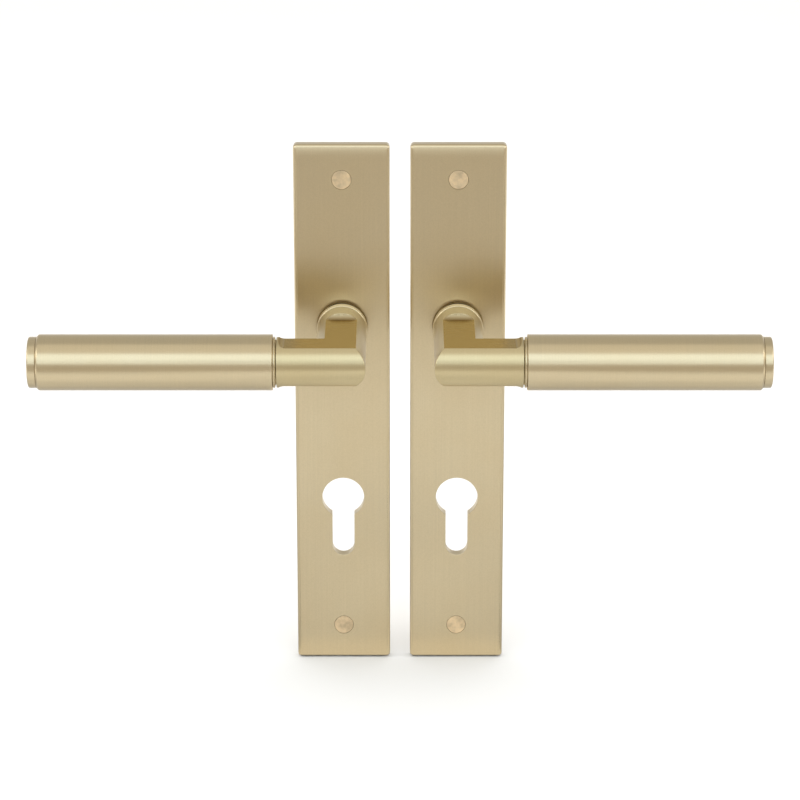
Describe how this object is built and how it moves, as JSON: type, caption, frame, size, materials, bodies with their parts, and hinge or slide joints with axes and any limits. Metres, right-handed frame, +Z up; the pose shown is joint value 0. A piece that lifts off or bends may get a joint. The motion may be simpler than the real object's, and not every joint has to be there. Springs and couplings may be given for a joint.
{
  "type": "lever door handle pair on long backplates for a euro cylinder",
  "caption": "Mirrored pair of satin brass lever handles, each on a long rectangular backplate with a euro profile cut-out, with mitred necks, sleeved round grips and sprung levers.",
  "frame": {"origin": "on the door plane, midway between the two plates, at the height of the two lever axes", "axes": "+X right, +Y into the door, +Z up; the handles face -Y"},
  "size_m": [0.3324, 0.1238, 0.2525],
  "materials": {
    "satin_brass": "satin, brushed along the plate and round the grip",
    "plug_brass": "satin, slightly pinker, turned",
    "steel": "zinc plated",
    "spring_steel": "dark oiled",
    "nylon": "matte"
  },
  "bodies": {
    "plates": {"left_backplate": "satin_brass", "left_plug_top": "plug_brass", "left_plug_bottom": "plug_brass", "left_fixing_screw_top": "steel", "left_fixing_screw_bottom": "steel", "left_neck_bush": "nylon", "left_torsion_spring": "spring_steel", "right_backplate": "satin_brass", "right_plug_top": "plug_brass", "right_plug_bottom": "plug_brass", "right_fixing_post_top": "steel", "right_fixing_post_bottom": "steel", "right_neck_bush": "nylon", "right_torsion_spring": "spring_steel"},
    "left_lever": {"left_lever_body": "satin_brass", "left_grub_screw": "spring_steel", "left_grip_core": "satin_brass", "left_grip_ring": "satin_brass", "left_grip_sleeve": "satin_brass", "left_end_cap": "satin_brass", "left_drive_washer": "steel", "left_circlip": "spring_steel", "left_spindle": "steel"},
    "right_lever": {"right_lever_body": "satin_brass", "right_grub_screw": "spring_steel", "right_grip_core": "satin_brass", "right_grip_ring": "satin_brass", "right_grip_sleeve": "satin_brass", "right_end_cap": "satin_brass", "right_drive_washer": "steel", "right_circlip": "spring_steel"}
  },
  "joints": [
    {"name": "left_lever_turn", "type": "hinge", "parent": "plates", "child": "left_lever", "pos_m": [-0.02675, 0, 0], "axis": [0, -1, 0], "range_deg": [0, 45], "stiffness_Nm_per_rad": 0.8, "springref_deg": -28.65, "deforming": ["left_torsion_spring"]},
    {"name": "right_lever_turn", "type": "hinge", "parent": "plates", "child": "right_lever", "pos_m": [0.02675, 0, 0], "axis": [0, 1, 0], "range_deg": [0, 45], "stiffness_Nm_per_rad": 0.8, "springref_deg": -28.65, "deforming": ["right_torsion_spring"]}
  ]
}
